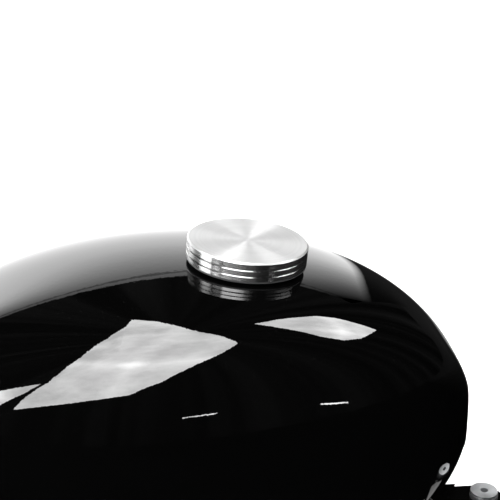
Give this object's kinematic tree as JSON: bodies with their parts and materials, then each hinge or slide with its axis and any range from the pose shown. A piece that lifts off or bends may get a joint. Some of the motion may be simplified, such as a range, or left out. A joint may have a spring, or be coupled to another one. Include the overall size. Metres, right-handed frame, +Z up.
{
  "type": "motorcycle fuel tank",
  "caption": "Gloss black motorcycle fuel tank with a tunnel underneath, rubber mounts, an in-tank pump and a round turned aluminium screw cap.",
  "frame": {"origin": "midway between the two front mounting holes, level with the bottom of their steel collars, which rest on the bike frame", "axes": "+X towards the front of the bike along its length, +Y to the rider's left, +Z up, along the front mounting holes"},
  "size_m": [0.558, 0.3227, 0.2909],
  "materials": {
    "gloss_black_paint": "deep gloss lacquer over black",
    "turned_aluminium": "fine-turned billet, clear anodised",
    "black_anodised": "satin black anodised",
    "steel": "zinc plated, satin",
    "stainless": "bright stainless",
    "black_rubber": "matt moulded",
    "foam_rubber": "closed-cell foam",
    "black_nylon": "moulded, fine grain",
    "natural_nylon": "woven and moulded, fuel stained",
    "pump_case": "drawn can, satin",
    "brass": "tinned contact brass"
  },
  "bodies": {
    "tank": {"tank_shell": "gloss_black_paint", "tank_base": "gloss_black_paint", "front_mount_ears": "gloss_black_paint", "rear_mount_tab": "gloss_black_paint", "slosh_baffle": "steel", "filler_neck": "black_anodised", "front_grommets": "black_rubber", "rear_grommet": "black_rubber", "front_collars": "steel", "rear_collar": "steel", "tunnel_pads": "foam_rubber", "pump_weld_ring": "steel", "pump_gasket": "black_rubber", "pump_flange": "black_nylon", "pump_terminals": "brass", "fuel_outlet": "stainless", "pump_screws": "stainless", "pump_body": "pump_case", "pump_cradle": "natural_nylon", "pump_strainer": "natural_nylon", "fuel_regulator": "steel", "pump_hose": "black_rubber", "level_sender": "black_nylon", "overflow_pipe": "steel", "vent_pipe": "steel", "vent_valve_body": "natural_nylon", "vent_valve_lid": "black_nylon", "drain_hoses": "black_rubber", "hose_clips": "steel"},
    "cap": {"cap_cover": "turned_aluminium", "cap_plug": "black_anodised", "cap_screws": "stainless", "vent_umbrella": "black_rubber", "cap_o_ring": "black_rubber"},
    "seal_ring": {"cap_seal_ring": "black_rubber"},
    "fuel_float": {"float_arm": "stainless", "level_float": "black_nylon"},
    "vent_ball": {"vent_valve_ball": "stainless"}
  },
  "joints": [
    {"name": "cap_rise", "type": "slide", "parent": "tank", "child": "seal_ring", "axis": [0.0906, 0, 0.9959], "range_m": [0, 0.0362]},
    {"name": "cap_turn", "type": "hinge", "parent": "seal_ring", "child": "cap", "pos_m": [-0.2, 0, 0.21182], "axis": [0.0906, 0, 0.9959], "range_deg": [0, 2160]},
    {"name": "float_swing", "type": "hinge", "parent": "tank", "child": "fuel_float", "pos_m": [-0.172, 0.066, 0.088], "axis": [0, -1, 0], "range_deg": [-45, 50]},
    {"name": "vent_ball_lift", "type": "slide", "parent": "tank", "child": "vent_ball", "axis": [0, 0, 1], "range_m": [0, 0.01]}
  ],
  "couplings": [
    {"joint": "cap_rise", "follows": "cap_turn", "m_per_rad": 0.00095493}
  ]
}
